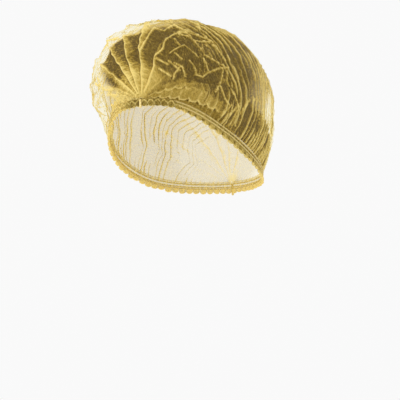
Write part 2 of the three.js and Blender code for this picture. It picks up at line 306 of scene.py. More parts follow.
# Creases that cross the folds: thousandths along and across, one line each
CREASES = (
    ((260, 695), (248, 772), (295, 805), (330, 818)),
    ((158, 633), (233, 630), (253, 655), (275, 693), (362, 690)),
    ((327, 818), (292, 823), (235, 848), (208, 870), (181, 858)),
    ((305, 825), (287, 863), (263, 912)),
    ((325, 823), (312, 865), (320, 880)),
    ((382, 753), (367, 795), (374, 840)),
    ((282, 890), (310, 925), (330, 935)),
    ((332, 885), (374, 922), (369, 963), (362, 990)),
    ((372, 920), (337, 970), (335, 988)),
    ((340, 930), (315, 980)),
    ((424, 885), (382, 953), (384, 978)),
    ((190, 655), (181, 698)),
    ((128, 698), (198, 705), (210, 777)),
    ((141, 715), (146, 768)),
    ((91, 642), (96, 738)),
    ((108, 725), (116, 792), (123, 818)),
    ((116, 758), (138, 807), (141, 858)),
    ((171, 790), (181, 820), (185, 858)),
    ((69, 698), (81, 780), (89, 818)),
    ((233, 785), (235, 840)),
    ((131, 797), (103, 815), (98, 843)),
    ((101, 515), (148, 540), (215, 540), (218, 580), (297, 573), (290, 642), (365, 688), (352, 750)),
    ((352, 750), (342, 785)),
    ((158, 633), (128, 650), (116, 647), (94, 623), (81, 630), (71, 652)),
    ((71, 652), (54, 647), (41, 650), (29, 660), (14, 655)),
    ((414, 578), (355, 638), (347, 680), (347, 725), (352, 750)),
    ((292, 575), (280, 628), (265, 690)),
    ((282, 593), (307, 640)),
    ((218, 310), (200, 242), (188, 175), (163, 152), (128, 113), (94, 122)),
    ((183, 270), (158, 208), (151, 170), (136, 143), (121, 118)),
    ((168, 143), (233, 62), (240, 37), (223, 0)),
    ((138, 103), (233, 62)),
    ((225, 62), (153, 25), (126, 7)),
    ((218, 297), (181, 357), (176, 380)),
    ((215, 283), (203, 300), (176, 333)),
)
CREASE_HALF = 0.85
CREASE_RISE = 1.5
CREASE_PLIES = 0.9

# Where the cloth changes from sheer to close: at the wearer's right, by how far back an arch lies,
# with half the width of the change, and at the rear, by how far across the place is
RIGHT_EDGE = {
    "along": (0, 0.05, 0.094, 0.133, 0.153, 0.16, 0.166, 0.175, 0.203, 0.253, 0.33, 0.39, 0.46, 1),
    "across": (0.06, 0.1, 0.135, 0.185, 0.22, 0.3, 0.4, 0.465, 0.51, 0.532, 0.54, 0.55, 0.5, 0.5),
}
RIGHT_CHANGE = {
    "along": (0, 0.1, 0.3, 0.46, 1),
    "half": (0.03, 0.05, 0.06, 0.18, 0.26),
}
REAR_EDGE = {
    "across": (0, 0.5, 0.68, 0.71, 0.77, 0.83, 0.87, 0.89, 0.905, 0.93, 1),
    "along": (0.63, 0.65, 0.66, 0.65, 0.605, 0.555, 0.52, 0.53, 0.61, 0.672, 0.66),
}
REAR_SHARP = (0.885, 0.905)  # past this place across the rear change is sharp
SLIT = (0.588, 0.862)  # an open place there, along and across, and how long and wide it is
SLIT_SIZE = (0.014, 0.026)
OUTER_ALONG = (0.1, 0.16, 0.36, 0.46)  # the outermost cloth at the right, with holes
BESIDE_ALONG = (0.02, 0.06, 0.3, 0.4)
PALE_ALONG = (0.1, 0.15, 0.3, 0.4)
LOW_REAR_ALONG = (0.4, 0.48, 0.64, 0.7)

# How sheer each of these places looks, and by how much its plies are fewer
SHEER = {"beside": 0.6, "outer": 0.48, "holes": 0.15, "behind": 0.7, "fringe": 0.38, "slit": 1.4}
CALMED = {"outer": 0.8, "fringe": 0.85}
FEWER = {"opened": 0.12, "outer": 0.15, "holes": 0.5, "slit": 0.8}
OUTER_CREASE = 1.1  # creases show even there
PALE_BAND = (0.4, 0.03, 0.04)  # plies, how far past the edge it lies, and half its width
DARK_LINE = (-0.2, 0.008, 0.006)
WELD_END = (0.003, 0.02)
END_PLIES = 0.6


# Numbers and noise

def ease(low, high, x):
    """0 below low, 1 above high, and smooth between."""
    t = np.clip((x - low) / (high - low), 0, 1)
    return t * t * (3 - 2 * t)


def within(x, limits):
    """1 between the two inner limits, 0 outside the outer ones, and smooth between."""
    return ease(limits[0], limits[1], x) * (1 - ease(limits[2], limits[3], x))


def hump(away, half):
    """1 at no distance, and next to nothing at twice the half width."""
    return np.exp(-((away / half) ** 2))


def peak(phase):
    """A sharp ridge at each whole phase, 1 on it and 0 half way to the next."""
    return np.abs(2 * (phase - np.floor(phase)) - 1)


def track(rows, column, along):
    """A smooth curve through one column of a table."""
    xs = np.array(rows["along"], float)
    ys = np.array(rows[column], float)
    before = np.maximum(np.arange(len(xs)) - 1, 0)
    after = np.minimum(np.arange(len(xs)) + 1, len(xs) - 1)
    slopes = (ys[after] - ys[before]) / (xs[after] - xs[before])
    i = np.clip(np.searchsorted(xs, along, side="right") - 1, 0, len(xs) - 2)
    span = xs[i + 1] - xs[i]
    t = (along - xs[i]) / span
    rest = 1 - t
    ends = ys[i] * rest**2 * (1 + 2 * t) + ys[i + 1] * t**2 * (1 + 2 * rest)
    return ends + span * t * rest * (slopes[i] * rest - slopes[i + 1] * t)


def table_line(rows, column, along):
    """Straight lines through one column of a table."""
    return np.interp(along, rows["along"], rows[column])


def cloudy(x, y, seed):
    """Smooth noise from -1 to 1 over a plane, with features one unit apart."""
    table = np.random.default_rng(seed).uniform(-1, 1, (64, 64))
    column = np.floor(x).astype(int)
    row = np.floor(y).astype(int)
    across = ease(0, 1, x - column)
    up = ease(0, 1, y - row)
    corner = lambda i, j: table[(row + j) % 64, (column + i) % 64]
    low = corner(0, 0) * (1 - across) + corner(1, 0) * across
    high = corner(0, 1) * (1 - across) + corner(1, 1) * across
    return low * (1 - up) + high * up


def wave(x, number, kind):
    """How a numbered line wavers along x."""
    much, long, unlike, seed = kind
    return much * cloudy(x / long, number * unlike, seed)


def patches(cloth, kind):
    """Patches of noise over the cloth."""
    much, long, wide, seed = kind
    return much * cloudy(cloth[0] / long, cloth[1] / wide, seed)


def by_lobe(number, kind):
    """A value of its own for each lobe."""
    much, step, place, seed = kind
    return much * cloudy(number * step, place, seed)


# The form of the opening and of the crown

def unit(v):
    return v / np.linalg.norm(v, axis=-1, keepdims=True)


def rim(angle):
    """A point of the rim, at an angle from the forehead towards the wearer's left."""
    along = (1 - np.cos(angle)) / 2
    x = RIM_BREADTH / 2 * np.sin(angle) * (1 + RIM_EGG * np.cos(angle)) + RIM_SKEW * (1 - along) ** 2
    z = RIM_DROP * (0.5 - track(RIM_ROWS, "drop", along)) + RIM_LEAN * x / RIM_BREADTH
    return np.stack([x, RIM_LENGTH * (along - 0.5), z], -1)


def rim_axes(angle):
    """The rim's directions: out of the opening, level, and up along the cloth."""
    step = 1e-3
    tangent = unit(rim(angle + step) - rim(angle - step))
    flat = np.zeros_like(tangent[..., 0])
    out = unit(np.stack([tangent[..., 1], -tangent[..., 0], flat], -1))
    return out, unit(np.cross(out, tangent))


def off_rim(angle, out, up):
    """A point beside the rim, so far out of the opening and so far up along the cloth."""
    axis_out, axis_up = rim_axes(angle)
    return rim(angle) + axis_out * np.asarray(out)[..., None] + axis_up * np.asarray(up)[..., None]


def arch(along):
    """One arch of the crown, from the right foot over the crest to the left foot."""
    place = np.arange(ARCH_STEPS + 1) - ARCH_STEPS / 2
    side = np.where(place < 0, -1.0, 1.0)
    climb = 1 - np.abs(place) / (ARCH_STEPS / 2)
    right_foot = off_rim(np.array(-pi * along), FOOT_OUT, FOOT_UP)
    left_foot = off_rim(np.array(pi * along), FOOT_OUT, FOOT_UP)
    foot = np.where(side[:, None] > 0, left_foot, right_foot)
    middle = (left_foot + right_foot) / 2
    half = abs(left_foot[0] - middle[0])
    left_swell = track(CROWN_ROWS, "swell_left", along)
    right_swell = track(CROWN_ROWS, "swell_right", along)
    reach = half + PUFF * np.where(side > 0, left_swell, right_swell)
    low = np.arccos(half / reach)
    turn = climb * (pi / 2 + low) - low
    height = (np.sin(turn) + np.sin(low)) / (1 + np.sin(low))
    crest_y = middle[1] + RIM_LENGTH * track(CROWN_ROWS, "back", along)
    crest_z = middle[2] + CROWN_HEIGHT * track(CROWN_ROWS, "rise", along)
    y = foot[:, 1] + (crest_y - foot[:, 1]) * height
    z = foot[:, 2] + (crest_z - foot[:, 2]) * height
    return np.stack([middle[0] + side * reach * np.cos(turn), y, z], -1)


def grid_normals(points):
    return unit(np.cross(np.gradient(points, axis=1), np.gradient(points, axis=0)))


def smooth_crown(alongs, even):
    """The crown's smooth form: a grid of points, its outward normals and the arches' lengths."""
    points = []
    lengths = []
    for along in alongs:
        line = arch(along)
        gone = np.concatenate([[0], np.cumsum(np.linalg.norm(np.diff(line, axis=0), axis=1))])
        lengths.append(gone[-1])
        points.append(np.stack([np.interp(even * gone[-1], gone, line[:, c]) for c in range(3)], -1))
    points = np.array(points)
    a, c = np.meshgrid(alongs, even, indexing="ij")
    depth = np.zeros(a.shape)
    for along, across, long, wide, share in DENTS:
        depth += share * hump(a - along, long) * hump(c - across, wide)
    loose = ease(0, DENT_FADE, np.minimum(c, 1 - c))
    points = points - grid_normals(points) * (PUFF * depth * loose)[..., None]
    return points, grid_normals(points), np.array(lengths)


# Folds

def fold_lines(total, columns):
    """How far from the forehead end each fold from rim to rim lies, in every column."""
    kinks = np.arange(len(KINKS["across"]))
    far = LONG_ARCH * columns
    room = ease(0, 0.03, np.minimum(columns, 1 - columns))
    lines = []
    for i in range(1, FOLDS):
        share = i / FOLDS
        knots = np.array(KINKS["across"]) + wave(kinks, i, FOLD_KNOTS)
        knots[0] = 0
        knots[-1] = 1
        shifts = np.array(KINKS["shift"]) * (0.8 + wave(kinks, i, FOLD_SHIFTS))
        own = wave(far, i, FOLD_WANDER) + wave(far, i, FOLD_TREMBLE)
        quiet = ease(0.03, 0.2, min(share, 1 - share))
        spread = table_line(SPREAD, "shift", share) * np.sin(pi * columns)
        moved = np.interp(columns, knots, shifts) + wave(far, i, FOLD_DRIFT) + own * room
        lines.append(total * (share + spread) + moved * quiet)
    return np.array(lines)


def fold_strength(columns):
    """How strongly each fold shows in every column, and how far a fan takes its place there."""
    number = np.arange(1, FOLDS)[:, None]
    share = number / FOLDS
    near_weld = np.minimum(share, 1 - share)
    foot = np.minimum(columns, 1 - columns)
    later = (1 - ease(*LATER_ACROSS, columns)) * (share < 0.5) * LATER
    fanned = (1 - ease(*FANNED, near_weld - later)) * ease(0.0, 0.03, foot)
    alive = ease(0.0, 0.4, 0.5 + wave(LONG_ARCH * columns, number, FOLD_FADING))
    strength = alive * (1 - 0.97 * fanned) * ease(0.02, 0.06, near_weld)
    strength *= 1 - FAINT * within(columns, FAINT_ACROSS) * (1 - ease(*FAINT_ALONG, share))
    return number, strength, fanned


def branches(far, part, panel):
    """Short creases that cross a panel between two folds, mostly from kink to kink."""
    found = np.zeros(far.shape)
    for number, knot in enumerate(KINKS["across"][1:-1]):
        chance = BRANCH_CHANCE + cloudy(number * 5.7 + 0.5, panel * 3.1 + 0.5, 71)
        way = 1 if cloudy(number * 2.9, panel * 1.7, 73) > 0 else -1
        middle = LONG_ARCH * knot + BRANCH_STRAY * cloudy(number * 1.3, panel * 0.9, 79)
        away = far - middle - way * BRANCH_RUN * (part - 0.5)
        found += max(0, chance) * hump(away, BRANCH_HALF)
    return np.clip(found, 0, 1)


def fold_rows(total, columns):
    """The rows of the crown's mesh: their places, their heights and how many plies lie there, with
    painted shade where the cloth sags between folds.
    """
    center = fold_lines(total, columns)
    far = LONG_ARCH * columns
    number, strength, fanned = fold_strength(columns)
    swing = wave(far, number, FOLD_SWING)
    lean = FOLD_LEAN * np.sign(swing) * np.abs(swing) ** 0.4 * np.sqrt(strength)
    stand = FOLD_STAND * strength * (0.85 + wave(far, number, FOLD_STANDING))
    starts = np.concatenate([np.zeros((1, len(columns))), center + FOLD_ROOT])
    ends = np.concatenate([center - FOLD_ROOT, total[None, :]])
    places, heights, plies_and_shade = [], [], []
    for i in range(FOLDS):
        wide = ends[i] - starts[i]
        sag = PANEL_SAG[0] + PANEL_SAG[1] * np.clip(wide, 0, PANEL_WIDEST)
        level = fanned[min(i, FOLDS - 2)]
        first = 0 if i == 0 else 1
        last = PANEL_ROWS + 1 + (i == FOLDS - 1)
        for k in range(first, last):
            part = k / (PANEL_ROWS + 1)
            arc = math.sin(pi * part) * (1 - 0.9 * level)
            branch = branches(far, part, i) * (1 - 0.8 * level)
            places.append(starts[i] + wide * part)
            heights.append(BRANCH_RISE * branch - sag * arc)
            # Painted shade: darker where the panel sags between two folds
            plies_and_shade.append(BRANCH_PLIES * branch * arc**0.3 + SAG_SHADE * arc + FANNED_PLIES * level)
        if i < FOLDS - 1:
            places += [ends[i], center[i] + lean[i], starts[i + 1]]
            heights += [0 * stand[i], stand[i], 0 * stand[i]]
            plies_and_shade += [much * strength[i] for much in FOLD_PLIES]
    return np.array(places), np.array(heights), np.array(plies_and_shade)


def fan_ridges(at):
    """Heights and plies of the ridges that fan out from the two welds and lean to one side, with painted
    shade in the valley at each ridge's steep side.
    """
    height = np.zeros(at.share.shape)
    plies_and_shade = np.zeros(at.share.shape)
    small = np.clip(at.arch / FAN_LONG, 0.1, 1)
    for weld, (fade, strong) in ((at.share, FRONT_FAN), (1 - at.share, REAR_FAN)):
        alive = 1 - ease(*fade, weld)
        for number, (near, quarter, half, stand, waver_by) in enumerate(FAN):
            middle = np.interp(weld, FAN_STATIONS, (near, near, quarter, half))
            waver = RIDGE_CRIMP * (2 * peak(weld * CRIMPS * 0.9 + 0.3 * number) - 1)
            waver += waver_by * wave(weld, number, RIDGE_WANDER) + wave(weld, number, RIDGE_TREMBLE)
            away = (at.across - middle) * at.arch + waver * small
            away *= -1 if number < FAN_TURNS else 1
            gentle = away > 0
            rough = 0.85 + wave(weld, number, RIDGE_ROUGH)
            reach = np.where(gentle, RIDGE_GENTLE, RIDGE_STEEP) * small
            height += strong * stand * rough * alive * small * np.exp(-np.abs(away) / reach)
            body = strong * alive * stand / FAN_STAND
            plies_and_shade += RIDGE_PLIES * body * hump(away, 0.8 * small + 0.15)
            plies_and_shade += SLOPE_PLIES * body * np.where(gentle, hump(away, RIDGE_GENTLE * small), 0)
            # Painted shade: darker cloth in the valley at the ridge's steep side
            plies_and_shade += VALLEY_SHADE * body * hump(away + VALLEY_AWAY * small, VALLEY_HALF * small)
    return height, plies_and_shade


# The crown's cloth, step by step. "At" holds what is known of each point of its mesh: height,
# plies, the place along (share) and across, and how far it lies from the forehead (places), the
# right foot (far), the nearer foot (foot) and the nearer weld (weld, as a share).

def crown_grid():
    """The crown's mesh with its folds, laid out on the smooth form but not yet raised."""
    columns = np.linspace(0, 1, CROWN_COLUMNS)
    fine = np.linspace(FIRST_ARCH, 1 - FIRST_ARCH, CROWN_STATIONS)
    base, normals, lengths = smooth_crown(fine, columns)
    steps = np.linalg.norm(np.diff(base, axis=0), axis=2)
    gone = np.concatenate([np.zeros((1, CROWN_COLUMNS)), np.cumsum(steps, axis=0)])
    places, height, plies_and_shade = fold_rows(gone[-1], columns)
    at = SimpleNamespace(base=base, height=height, plies_and_shade=plies_and_shade)
    at.places = np.clip(places, 0, gone[-1])
    at.share = np.empty(places.shape)
    at.spots = np.empty(places.shape + (3,))
    at.ways = np.empty(places.shape + (3,))
    for c in range(CROWN_COLUMNS):
        at.share[:, c] = np.interp(at.places[:, c], gone[:, c], fine)
        for axis in range(3):
            at.spots[:, c, axis] = np.interp(at.places[:, c], gone[:, c], base[:, c, axis])
            at.ways[:, c, axis] = np.interp(at.places[:, c], gone[:, c], normals[:, c, axis])
    at.across = np.broadcast_to(columns, places.shape)
    at.arch = np.interp(at.share, fine, lengths)
    at.far = at.across * at.arch
    at.cloth = (at.places, at.far)
    at.turned = (at.far, at.places)
    at.foot = np.minimum(at.across, 1 - at.across) * at.arch
    at.weld = np.minimum(at.share, 1 - at.share)
    at.free = ease(0, FOOT_SMOOTH, at.foot)
    return at


def add_fans(at):
    """The fans, and the paler cloth between the ridges of the one at the forehead."""
    height, plies_and_shade = fan_ridges(at)
    at.height += (height - FAN_SINK * (1 - ease(0.2, 0.4, at.weld))) * at.free
    at.plies_and_shade += plies_and_shade * ease(0, 12, at.foot)
    paler = FAN_PALER * (1 - ease(*FAN_PALE_ARCH, at.arch)) + FAN_DARKER
    at.plies_and_shade += paler * within(at.across, FAN_ACROSS) * (1 - ease(0.2, 0.3, at.share))


def add_kinks(at):
    """Slight ridges and hollows by turns, where the folds have their kinks."""
    calm = ease(0.2, 0.34, at.weld)
    for number, knot in enumerate(KINKS["across"][1:-1]):
        away = (at.across - knot) * LONG_ARCH + wave(at.share, number, KINK_WAVER)
        way = 1 if number % 2 else -0.8
        at.height += KINK_RISE * way * np.exp(-np.abs(away) / KINK_REACH) * calm * at.free


def add_lattice(at):
    """Short creases both ways on a slant, where the fan meets the folds beside the forehead."""
    middle, half = LATTICE_ALONG
    here = hump(at.weld - middle, half) * ease(18, 30, at.foot) * at.free
    for way, pitch, stray, shown in LATTICE:
        phase = (at.places * SLANT + way * at.far) / pitch + patches(at.cloth, stray)
        line = peak(phase) ** 7 * ease(0.1, 0.5, patches(at.cloth, shown)) * here
        at.height += LATTICE_RISE * line
        at.plies_and_shade += LATTICE_PLIES * line
    at.plies_and_shade -= LATTICE_DARKER * here


def add_creases(at):
    """The creases that cross the folds, each a thin line from corner to corner."""
    at.crease = np.zeros(at.share.shape)
    last_row, last_column = np.array(at.base.shape[:2]) - 1
    for line in CREASES:
        spots = [(along * last_row / 1000, across * last_column / 1000) for along, across in line]
        corners = [at.base[round(row), round(column)] for row, column in spots]
        for start, end in zip(corners[:-1], corners[1:]):
            way = end - start
            part = np.clip((at.spots - start) @ way / (way @ way), 0, 1)
            off = at.spots - start - part[..., None] * way
            proud = np.sum(off * at.ways, axis=-1)
            away = np.linalg.norm(off - proud[..., None] * at.ways, axis=-1)
            crease = hump(away, CREASE_HALF) * (np.abs(proud) < PUFF / 2)
            at.crease = np.maximum(at.crease, crease)
    at.height += CREASE_RISE * at.crease
    at.plies_and_shade += CREASE_PLIES * at.crease


def add_crumples(at):
    """Crumples, which are sharp ridges between patches, and slow unevenness."""
    rumple = sum(much * (1 - np.abs(patches(at.cloth, kind))) ** 4 for much, kind in CRUMPLES)
    small = np.clip(at.arch / FULL_ARCH, 0.08, 1)
    uneven = patches(at.cloth, UNEVEN_RISE)
    at.height += (CRUMPLE_RISE * rumple - CRUMPLE_SINK + uneven) * at.free * small
    at.plies_and_shade += CRUMPLE_PLIES * rumple * at.free + patches(at.cloth, UNEVEN_PLIES)


def add_rear_bands(at):
    """Wide bands where plies lie on each other, low at the wearer's left and behind."""
    here = within(at.share, LOW_REAR_ALONG) * ease(0.8, 0.87, at.across)
    here *= 1 - 0.8 * ease(0.88, 0.91, at.across)
    at.plies_and_shade += REAR_BAND_PLIES * ease(-0.1, 0.25, patches(at.cloth, REAR_BANDS)) * here


def add_gathers(at):
    """Gathers that rise from the elastics."""
    turn = 2 * pi * at.places / GATHER_PITCH
    gather = np.sin(turn + patches(at.cloth, GATHER_STRAY))
    at.height += GATHER_RISE * gather * np.exp(-at.foot / 7)
    at.plies_and_shade += (0.26 + 0.2 * gather) * np.exp(-at.foot / 8)


def hem_lobes(rows, at):
    """One row of the turned hem's lobes: how strongly bodies and lower outlines show."""
    seed = rows["seed"]
    phase = at.share * HEM_LOBES + 0.3 * cloudy(at.share * 9, 3.3, seed)
    number = np.floor(phase)
    slant = by_lobe(number, (0.1, 3.1, 0, seed + 1))
    low = table_line(rows, "low", at.share) + by_lobe(number, (0.7, 5.3, 0, seed + 2))
    high = table_line(rows, "high", at.share) + by_lobe(number, (1.2, 3.3, 0, seed + 3))
    side = 2 * (phase - number - 0.5) + 2 * slant * (at.foot - low) / LOBE_PITCH
    side = np.clip(np.abs(side), 0, 1)
    inside = at.foot - low - LOBE_ROUND * side**2.4
    under_top = 1 - ease(-2.5, 1.5, at.foot - high)
    body = ease(-1.0, 0.8, inside) * under_top
    seam = hump((1 - side) * LOBE_PITCH / 2, 0.8) * body
    seen = table_line(rows, "seen", at.share)
    return seen * body, seen * (1.25 * hump(inside - 0.2, 0.95) * under_top + 0.3 * seam)


def add_turned_hem(at):
    """The hem's lobes that show through, and the even strip of cloth below them."""
    for rows in (TURN_ROWS, HEM_ROWS):
        body, outline = hem_lobes(rows, at)
        at.height += rows["strong"] * (0.7 * body + 0.5 * outline)
        closer = (0.38 - 0.6 * np.clip(at.plies_and_shade, 0, 0.7)) * body
        at.plies_and_shade += rows["strong"] * (closer + 0.6 * outline)
    below = ease(0, 1.5, table_line(HEM_ROWS, "low", at.share) - at.foot)
    at.plies_and_shade += (STRIP_PLIES - at.plies_and_shade) * 0.8 * below * table_line(HEM_ROWS, "seen", at.share)


def add_sheer(at):
    """The cloth is sheerest where it stands away in one ply: at the wearer's right and behind."""
    at.right = table_line(RIGHT_EDGE, "across", at.share) + patches(at.turned, RIGHT_STRAY)
    half = table_line(RIGHT_CHANGE, "half", at.share)
    at.beside = 1 - ease(-half, half, at.across - at.right)
    at.outer = within(at.share, OUTER_ALONG) * at.beside
    holes = ease(-0.05, 0.2, patches(at.turned, HOLES)) * at.outer

    at.rear = np.interp(at.across, REAR_EDGE["across"], REAR_EDGE["along"])
    gradual = 1 - ease(*REAR_SHARP, at.across)
    past_edge = at.share - at.rear + gradual * patches(at.turned, REAR_STRAY)
    behind = ease(-0.01 - 0.16 * gradual, 0.03 + 0.19 * gradual, past_edge)
    fringe = ease(-0.01, 0.03, at.share - at.rear) * ease(0.55, 0.65, at.across)
    fringe = fringe * (1 - ease(0.8, 0.95, at.share))
    slit = hump(at.share - SLIT[0], SLIT_SIZE[0]) * hump(at.across - SLIT[1], SLIT_SIZE[1])

    right = SHEER["beside"] * at.beside + SHEER["outer"] * at.outer + SHEER["holes"] * holes
    rear = SHEER["behind"] * behind + SHEER["fringe"] * fringe
    at.opened = np.maximum(np.maximum(right, rear), SHEER["slit"] * slit)
    at.plies_and_shade *= 1 - CALMED["outer"] * at.outer - CALMED["fringe"] * fringe
    at.plies_and_shade -= FEWER["opened"] * at.opened + FEWER["outer"] * at.outer
    at.plies_and_shade -= FEWER["holes"] * holes + FEWER["slit"] * slit
    at.plies_and_shade += OUTER_CREASE * at.crease * at.outer


def add_threads(at):
    """The plies' edges, which cross each other on two slants in the sheer cloth at the right."""
    here = np.maximum(at.outer, 0.55 * at.beside * within(at.share, BESIDE_ALONG))
    for way, pitch, stray, shown in THREADS:
        phase = (at.places + way * at.far * SLANT) / pitch + patches(at.cloth, stray)
        thread = peak(phase) ** 5 * ease(-0.6, 0.0, patches(at.cloth, shown)) * here
        at.plies_and_shade += THREAD_PLIES * thread
        at.height += THREAD_RISE * thread * at.free


def add_edge_bands(at):
    """A pale band beside the sheer cloth at the right, and a dark line before the sheer rear."""
    much, past, half = PALE_BAND
    at.plies_and_shade += much * hump(at.across - at.right - past, half) * within(at.share, PALE_ALONG)
    much, past, half = DARK_LINE
    at.plies_and_shade += much * hump(at.rear - at.share - past, half) * ease(0.895, 0.905, at.across)


def flatten_ends(at):
    """The cloth lies flat and even where it runs into the welds."""
    end = ease(*WELD_END, at.weld)
    at.height *= end
    at.plies_and_shade += (END_PLIES - at.plies_and_shade) * (1 - end)


STEPS = (add_fans, add_kinks, add_lattice, add_creases, add_crumples, add_rear_bands)
STEPS += (add_gathers, add_turned_hem, add_sheer, add_threads, add_edge_bands, flatten_ends)


def crown_sheet():
    """The crown's cloth as a grid: points, how many plies lie there with painted shade in its hollows,
    and places on the cloth.
    """
    at = crown_grid()
    for step in STEPS:
        step(at)
    points = at.spots + at.ways * at.height[..., None]
    return points, {"plies_and_shade": np.clip(at.plies_and_shade, 0, 1.2), "sheer": at.opened}, at.cloth


# Hem, frill, elastics and tabs

def around(steps_a_lobe):
    """Angles round the rim, which lobe each lies in and how far through it, one row each."""
    steps = 2 * CRIMPS * steps_a_lobe
    angles = np.arange(steps)[:, None] * 2 * pi / steps
    phase = np.arange(steps)[:, None] / steps_a_lobe
    return angles, np.floor(phase), phase - np.floor(phase)


def lobe_shape(through):
    """A round lobe with sharp notches at its ends."""
    return np.sin(pi * through) ** 0.55


def degrees(angles):
    """Degrees from the forehead, less than 0 at the wearer's right."""
    return np.degrees(np.arctan2(np.sin(angles), np.cos(angles)))


def rim_sheerness(angles):
    """How sheer the hem and the frill look: most at the wearer's right and behind."""
    right = ease(*RIGHT_SHEER, -degrees(angles))
    return RIM_SHEER * np.maximum(ease(*REAR_SHEER, degrees(angles)), right)


def frill_plies_and_shade(bent, shape, turns, front):
    """The frill's pale edge and ridge and its notches, darkened with painted shade, or its cells'
    outlines in front.
    """
    down = np.sin(pi * turns)
    ridge = hump(bent - 0.3 - 0.15 * down, 0.09) * down
    edge = hump(turns - 0.48, 0.085)
    notch_shade = hump(np.minimum(bent, 1 - bent), 0.09)
    # Painted shade: the notches between the lobes are darker
    plies_and_shade = 0.34 + 0.14 * shape + 0.85 * edge + 0.45 * ridge - 0.55 * notch_shade * down
    # The cells' outlines lie slantwise above and below, and upright half way
    tip = 1 - 4 * np.clip(turns, 0, 0.5)
    half = 0.5 * (1 - np.clip((np.abs(tip) - 0.3) / 0.7, 0, 1))
    outlines = hump(np.abs(bent - 0.5) - half, 0.08)
    return plies_and_shade * (1 - front) + (0.16 + 0.75 * outlines + 0.4 * edge) * front


def frill_sheet():
    """The cloth below the elastics: down, round the scalloped edge and up again inside."""
    angles, lobe, through = around(LOBE_COLUMNS)
    turns = np.linspace(0, 1, FRILL_ROWS)[None, :]
    off = np.abs(degrees(angles))
    bent = np.clip(through + by_lobe(lobe, FRILL_SKEW) * np.sin(pi * through), 0, 1)
    shape = lobe_shape(bent)
    down = np.sin(pi * turns)
    inside = ease(0.42, 0.6, turns)
    front = (1 - ease(*CELLS_END, off)) * (1 - inside)
    lifted = front * (1 - down)
    drop = FRILL_DROP - FRILL_TUCK * (1 - ease(*FRILL_GROWS, off))
    reach = (drop - FRILL_GAP) * (0.92 + by_lobe(lobe, FRILL_TALL))
    reach = reach - SCALLOP * (0.35 + 0.65 * drop / FRILL_DROP) * (1 - shape)
    up = -BAND_TOP - FRILL_GAP - reach * down + (2 * BAND_TOP + 0.1) * lifted
    puff = RUFFLE * (1.5 * shape - 0.5) * down**0.7
    outer = FRILL_OUT + puff + 1.05 * lifted
    inner = -0.1 - 0.25 * puff
    pinch = FRILL_PINCH * np.sin(3 * pi * bent) * down * (1 - inside)
    points = off_rim(angles, outer * (1 - inside) + inner * inside + pinch, up)
    plies_and_shade = frill_plies_and_shade(bent, shape, turns, front) + by_lobe(lobe, FRILL_TONE)
    return points, {"plies_and_shade": plies_and_shade, "sheer": rim_sheerness(angles)}, (angles * CLOTH_ROUND, -up)


def hem_sheet():
    """The gathered ply behind the elastics, and the folded hem that stands above them."""
    angles, lobe, through = around(LOBE_COLUMNS)
    levels = np.linspace(0, 1, HEM_ROWS_UP)[None, :]
    share = within(np.abs(degrees(angles)), HEM_STANDS)
    shape = lobe_shape(through)
    foot = -BAND_TOP - HEM_LAP
    rise = HEM_RISE * share * (1 + by_lobe(lobe, HEM_TALL))
    top = BAND_TOP + HEM_LAP + rise - HEM_DIP * share * (1 - shape)
    up = foot + (top - foot) * levels
    above = np.clip(up - BAND_TOP, 0, None)
    gather = HEM_GATHER * (shape - 1) * (0.6 + 0.05 * above)
    crossing = 0.25 * np.sin(2 * pi * (2 * through + up / 6))
    out = -HEM_IN - HEM_LEAN * above + gather + crossing * ease(0, 3, above)
    edge = ease(0.86, 0.97, levels) * share
    plies_and_shade = 0.16 + 0.4 * (1 - shape) ** 2 + 0.45 * edge + 0.2 * share
    marks = {"plies_and_shade": plies_and_shade, "sheer": rim_sheerness(angles)}
    return off_rim(angles, out, up), marks, (angles * CLOTH_ROUND, up)


def elastic_sheet(level):
    """One elastic inside its gathered cloth: a cord that swells between the gathers."""
    angles, _, through = around(CORD_COLUMNS)
    turns = np.linspace(0, 2 * pi, CORD_SIDES + 1)[None, :]
    swell = 0.82 + 0.3 * np.sin(2 * pi * through) ** 2
    radius = ELASTIC_RADIUS * swell
    drift = ELASTIC_DRIFT * cloudy(angles * 9, level, 29)
    points = off_rim(angles, ELASTIC_OUT + radius * np.cos(turns), level + drift + radius * np.sin(turns))
    return points, {"plies_and_shade": 0.5 + 0.35 * swell}, (angles * CLOTH_ROUND, turns * ELASTIC_RADIUS)


def tab_points(angle):
    """A fused tab with pressed ribs, thin at its ends, as rings of points from foot to top."""
    axis_out, axis_up = rim_axes(np.array(angle))
    tangent = np.cross(axis_up, axis_out)
    bottom = -BAND_TOP - FRILL_DROP + FRILL_TUCK * (math.cos(angle) > 0) - TAB_BELOW
    length = BAND_TOP - bottom - TAB_SHORT
    share = np.linspace(0, 1, TAB_ROWS)[:, None]
    end = np.minimum(share, 1 - share)
    taper = np.sqrt(np.maximum(0, 1 - (1 - np.minimum(1, end / TAB_END)) ** 2))
    rib = TAB_RIB * np.sin(2 * pi * TAB_RIBS * share)
    turn = 2 * pi * np.arange(TAB_SIDES)[None, :] / TAB_SIDES
    square = lambda v: np.sign(v) * np.abs(v) ** TAB_SQUARE
    wide = TAB_HALF_WIDE * square(np.cos(turn)) * (0.3 + 0.7 * taper)
    thick = (TAB_HALF_THICK + rib) * square(np.sin(turn)) * (0.2 + 0.8 * taper)
    high = bottom + length * share
    spots = rim(np.array(angle)) + tangent * wide[..., None] + axis_out * (TAB_OUT + thick)[..., None]
    return spots + axis_up * high[..., None]


# Meshes

def placed(name, data):
    """A new object in the scene."""
    thing = bpy.data.objects.new(name, data)
    bpy.context.scene.collection.objects.link(thing)
    return thing


def quads(index):
    """The faces of a grid of point numbers."""
    corners = (index[:-1, :-1], index[:-1, 1:], index[1:, 1:], index[1:, :-1])
    return np.stack(corners, -1).reshape(-1, 4).tolist()


